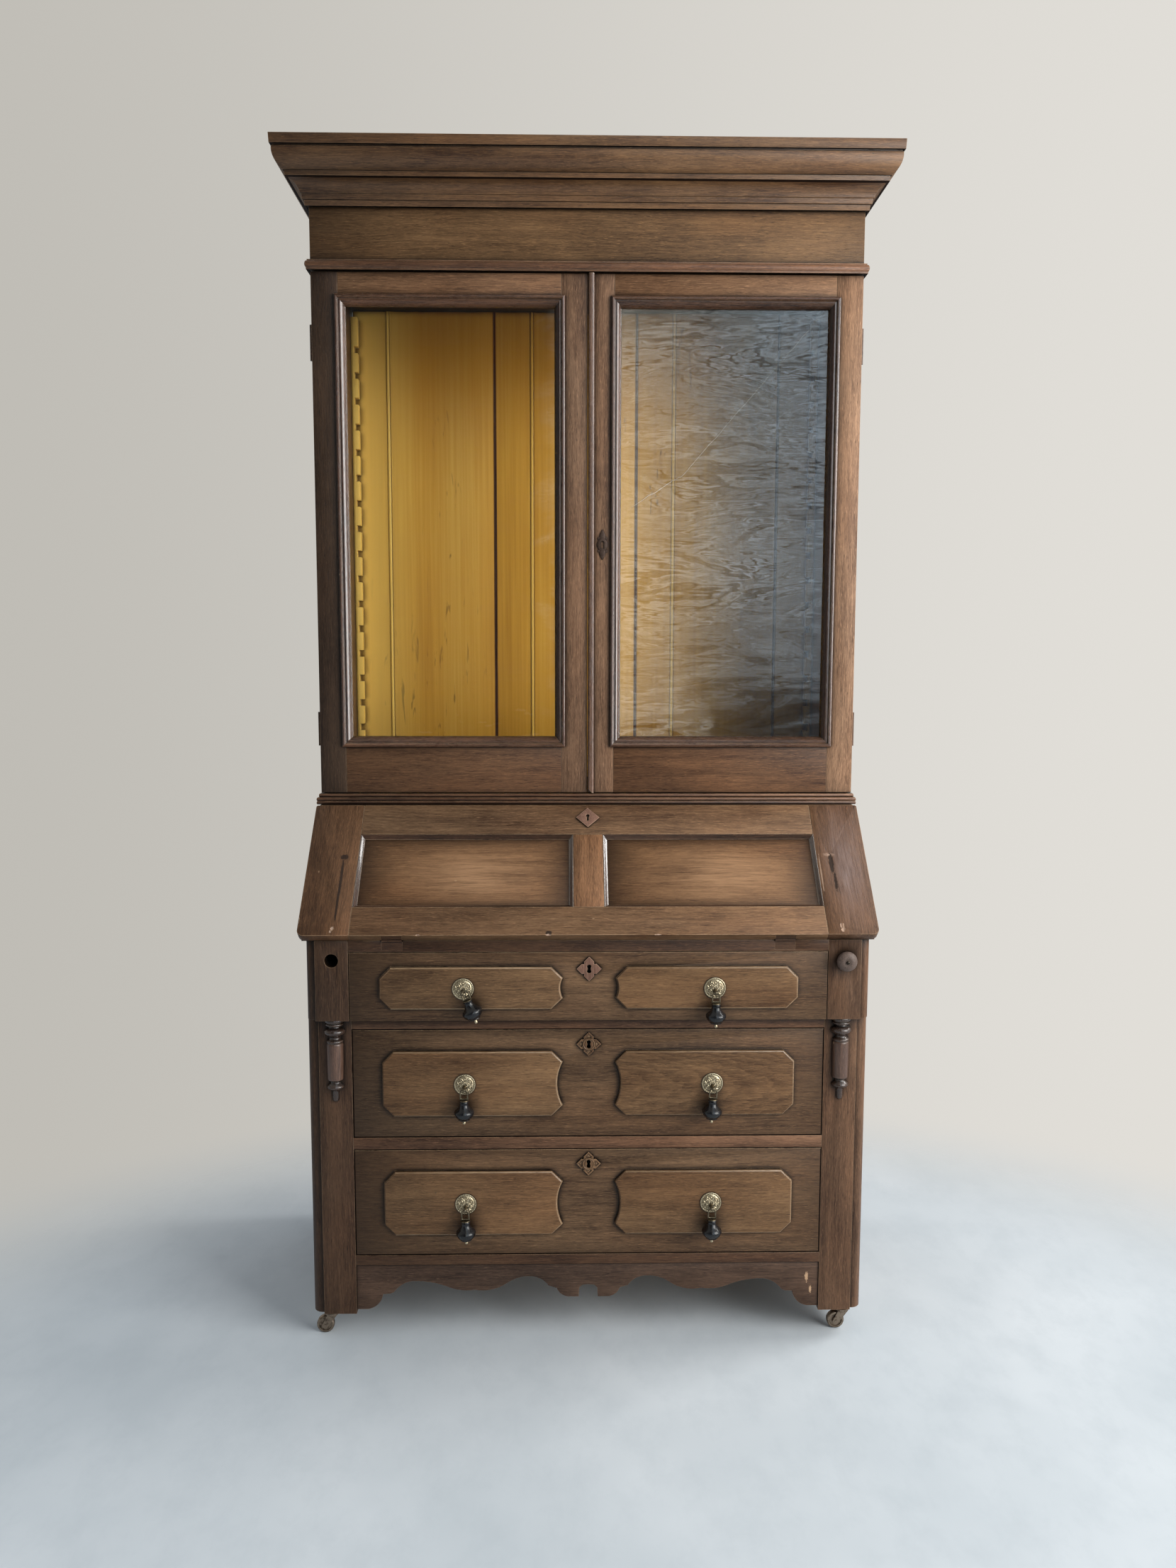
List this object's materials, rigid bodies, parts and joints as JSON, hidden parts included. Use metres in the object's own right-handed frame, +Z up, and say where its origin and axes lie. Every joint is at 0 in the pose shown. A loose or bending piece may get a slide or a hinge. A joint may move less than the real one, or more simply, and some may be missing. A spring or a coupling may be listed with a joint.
{
  "type": "secretary desk with bookcase",
  "caption": "Tall antique walnut secretary desk: drawers with drop pulls, a slanted fall-front writing flap, a glazed two-door bookcase and a moulded cornice, on casters.",
  "frame": {"origin": "on the floor, under the middle of the desk's bounding box", "axes": "+Z up, -Y out of the front (drawers, fall front and doors), +X to the right of someone facing the front"},
  "size_m": [1.124, 0.5655, 2.16],
  "materials": {
    "walnut": "aged oiled walnut, satin",
    "panel_walnut": "figured walnut, satin",
    "dark_walnut": "dark stained walnut, satin",
    "inner_wood": "unfinished poplar, matt",
    "back_boards": "varnished pine, satin",
    "ebonised_wood": "black polished wood",
    "antique_brass": "tarnished brass",
    "iron": "dark worn iron",
    "caster_metal": "worn caster iron",
    "pane": "clear old glass"
  },
  "bodies": {
    "case": {"corner_posts": "walnut", "post_blocks": "walnut", "half_spindles": "dark_walnut", "side_boards": "walnut", "base_back": "inner_wood", "front_rails": "walnut", "apron": "walnut", "drawer_runners": "inner_wood", "writing_bed": "walnut", "desk_top": "walnut", "loper_guides": "inner_wood", "pigeonholes": "inner_wood", "bookcase_boards": "walnut", "bookcase_sides": "walnut", "bookcase_back": "back_boards", "shelf_strips": "inner_wood", "frieze": "walnut", "case_mouldings": "dark_walnut", "cornice": "dark_walnut", "cornice_top": "inner_wood", "fixed_hinge_leaves": "iron", "caster_sockets": "caster_metal"},
    "left_door": {"left_door_frame": "walnut", "left_door_glass": "pane", "left_door_moulding": "dark_walnut", "left_door_hinge_leaves": "iron"},
    "right_door": {"right_door_frame": "walnut", "right_door_glass": "pane", "right_door_moulding": "dark_walnut", "right_door_hinge_leaves": "iron", "meeting_bead": "dark_walnut", "right_door_lock": "iron"},
    "fall_front": {"lid_frame": "walnut", "lid_panels": "panel_walnut", "lid_keyhole_plate": "dark_walnut", "lid_hinge_leaves": "iron"},
    "right_loper": {"loper": "dark_walnut"},
    "top_drawer": {"top_drawer_front": "panel_walnut", "top_drawer_box": "inner_wood", "top_drawer_fittings": "antique_brass"},
    "top_pull_left": {"top_pull_left": "ebonised_wood"},
    "top_pull_right": {"top_pull_right": "ebonised_wood"},
    "middle_drawer": {"middle_drawer_front": "panel_walnut", "middle_drawer_box": "inner_wood", "middle_drawer_fittings": "antique_brass"},
    "middle_pull_left": {"middle_pull_left": "ebonised_wood"},
    "middle_pull_right": {"middle_pull_right": "ebonised_wood"},
    "bottom_drawer": {"bottom_drawer_front": "panel_walnut", "bottom_drawer_box": "inner_wood", "bottom_drawer_fittings": "antique_brass"},
    "bottom_pull_left": {"bottom_pull_left": "ebonised_wood"},
    "bottom_pull_right": {"bottom_pull_right": "ebonised_wood"},
    "caster_front_left": {"caster_horn_front_left": "caster_metal"},
    "wheel_front_left": {"caster_wheel_front_left": "caster_metal"},
    "caster_front_right": {"caster_horn_front_right": "caster_metal"},
    "wheel_front_right": {"caster_wheel_front_right": "caster_metal"},
    "caster_back_left": {"caster_horn_back_left": "caster_metal"},
    "wheel_back_left": {"caster_wheel_back_left": "caster_metal"},
    "caster_back_right": {"caster_horn_back_right": "caster_metal"},
    "wheel_back_right": {"caster_wheel_back_right": "caster_metal"}
  },
  "joints": [
    {"name": "left_door_hinge", "type": "hinge", "parent": "case", "child": "left_door", "pos_m": [-0.5092, -0.01705, 1.46], "axis": [0, 0, -1], "range_deg": [0, 165]},
    {"name": "right_door_hinge", "type": "hinge", "parent": "case", "child": "right_door", "pos_m": [0.5092, -0.01705, 1.46], "axis": [0, 0, 1], "range_deg": [0, 165]},
    {"name": "fall_front_hinge", "type": "hinge", "parent": "case", "child": "fall_front", "pos_m": [0, -0.23775, 0.7524], "axis": [1, 0, 0], "range_deg": [0, 133]},
    {"name": "right_loper_slide", "type": "slide", "parent": "case", "child": "right_loper", "axis": [0, -1, 0], "range_m": [0, 0.23]},
    {"name": "top_drawer_slide", "type": "slide", "parent": "case", "child": "top_drawer", "axis": [0, -1, 0], "range_m": [0, 0.35]},
    {"name": "top_pull_left_swing", "type": "hinge", "parent": "top_drawer", "child": "top_pull_left", "pos_m": [-0.222, -0.26475, 0.664], "axis": [-1, 0, 0], "range_deg": [0, 95]},
    {"name": "top_pull_right_swing", "type": "hinge", "parent": "top_drawer", "child": "top_pull_right", "pos_m": [0.222, -0.26475, 0.664], "axis": [-1, 0, 0], "range_deg": [0, 95]},
    {"name": "middle_drawer_slide", "type": "slide", "parent": "case", "child": "middle_drawer", "axis": [0, -1, 0], "range_m": [0, 0.35]},
    {"name": "middle_pull_left_swing", "type": "hinge", "parent": "middle_drawer", "child": "middle_pull_left", "pos_m": [-0.222, -0.24475, 0.48295], "axis": [-1, 0, 0], "range_deg": [0, 95]},
    {"name": "middle_pull_right_swing", "type": "hinge", "parent": "middle_drawer", "child": "middle_pull_right", "pos_m": [0.222, -0.24475, 0.48295], "axis": [-1, 0, 0], "range_deg": [0, 95]},
    {"name": "bottom_drawer_slide", "type": "slide", "parent": "case", "child": "bottom_drawer", "axis": [0, -1, 0], "range_m": [0, 0.35]},
    {"name": "bottom_pull_left_swing", "type": "hinge", "parent": "bottom_drawer", "child": "bottom_pull_left", "pos_m": [-0.222, -0.24475, 0.2596], "axis": [-1, 0, 0], "range_deg": [0, 95]},
    {"name": "bottom_pull_right_swing", "type": "hinge", "parent": "bottom_drawer", "child": "bottom_pull_right", "pos_m": [0.222, -0.24475, 0.2596], "axis": [-1, 0, 0], "range_deg": [0, 95]},
    {"name": "front_left_swivel", "type": "hinge", "parent": "case", "child": "caster_front_left", "pos_m": [-0.475, -0.18725, 0.04], "axis": [0, 0, 1], "continuous": true},
    {"name": "front_left_roll", "type": "hinge", "parent": "caster_front_left", "child": "wheel_front_left", "pos_m": [-0.487, -0.18725, 0.016], "axis": [0, -1, 0], "continuous": true},
    {"name": "front_right_swivel", "type": "hinge", "parent": "case", "child": "caster_front_right", "pos_m": [0.475, -0.18725, 0.04], "axis": [0, 0, 1], "continuous": true},
    {"name": "front_right_roll", "type": "hinge", "parent": "caster_front_right", "child": "wheel_front_right", "pos_m": [0.463, -0.18725, 0.016], "axis": [0, -1, 0], "continuous": true},
    {"name": "back_left_swivel", "type": "hinge", "parent": "case", "child": "caster_back_left", "pos_m": [-0.475, 0.25275, 0.04], "axis": [0, 0, 1], "continuous": true},
    {"name": "back_left_roll", "type": "hinge", "parent": "caster_back_left", "child": "wheel_back_left", "pos_m": [-0.487, 0.25275, 0.016], "axis": [0, -1, 0], "continuous": true},
    {"name": "back_right_swivel", "type": "hinge", "parent": "case", "child": "caster_back_right", "pos_m": [0.475, 0.25275, 0.04], "axis": [0, 0, 1], "continuous": true},
    {"name": "back_right_roll", "type": "hinge", "parent": "caster_back_right", "child": "wheel_back_right", "pos_m": [0.463, 0.25275, 0.016], "axis": [0, -1, 0], "continuous": true}
  ]
}
